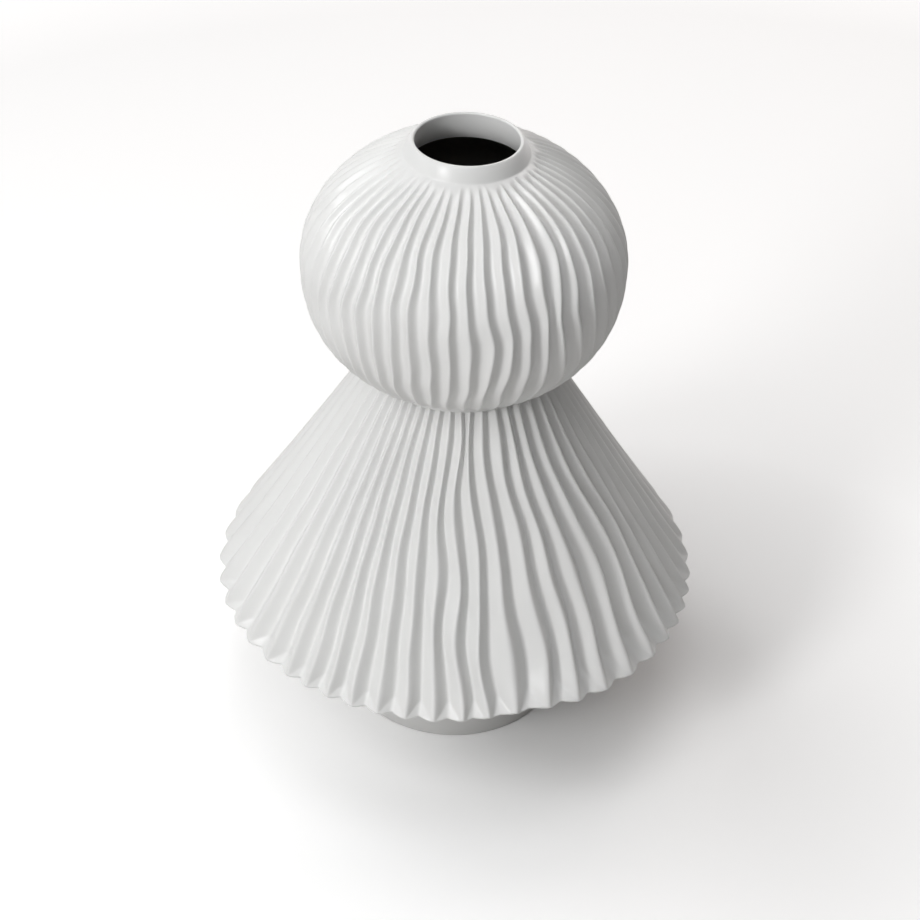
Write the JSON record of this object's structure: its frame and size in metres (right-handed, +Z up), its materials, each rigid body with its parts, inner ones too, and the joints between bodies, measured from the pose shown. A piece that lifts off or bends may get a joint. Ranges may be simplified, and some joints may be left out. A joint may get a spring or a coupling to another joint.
{
  "type": "fan vase",
  "caption": "White porcelain vase: a pleated globe with a short plain mouth on a wide pleated skirt like an open fan, standing on a plain round foot. Holds flower stems.",
  "frame": {"origin": "on the floor under the centre of the foot ring", "axes": "+Z up along the vase's axis, out of the mouth; the side in the picture faces -Y; +X is its right"},
  "size_m": [0.2211, 0.2209, 0.2906],
  "materials": {
    "porcelain": "satin white glaze",
    "bisque": "matt white, worn where it stands",
    "slip": "fired luting slip under the same white glaze"
  },
  "bodies": {
    "root": {"mouth_collar": "porcelain", "bulb": "porcelain", "skirt": "porcelain", "base": "porcelain", "foot_ring": "bisque", "collar_slip_joint": "slip", "waist_slip_joint": "slip", "hem_slip_joint": "slip", "foot_slip_joint": "slip"}
  },
  "joints": []
}
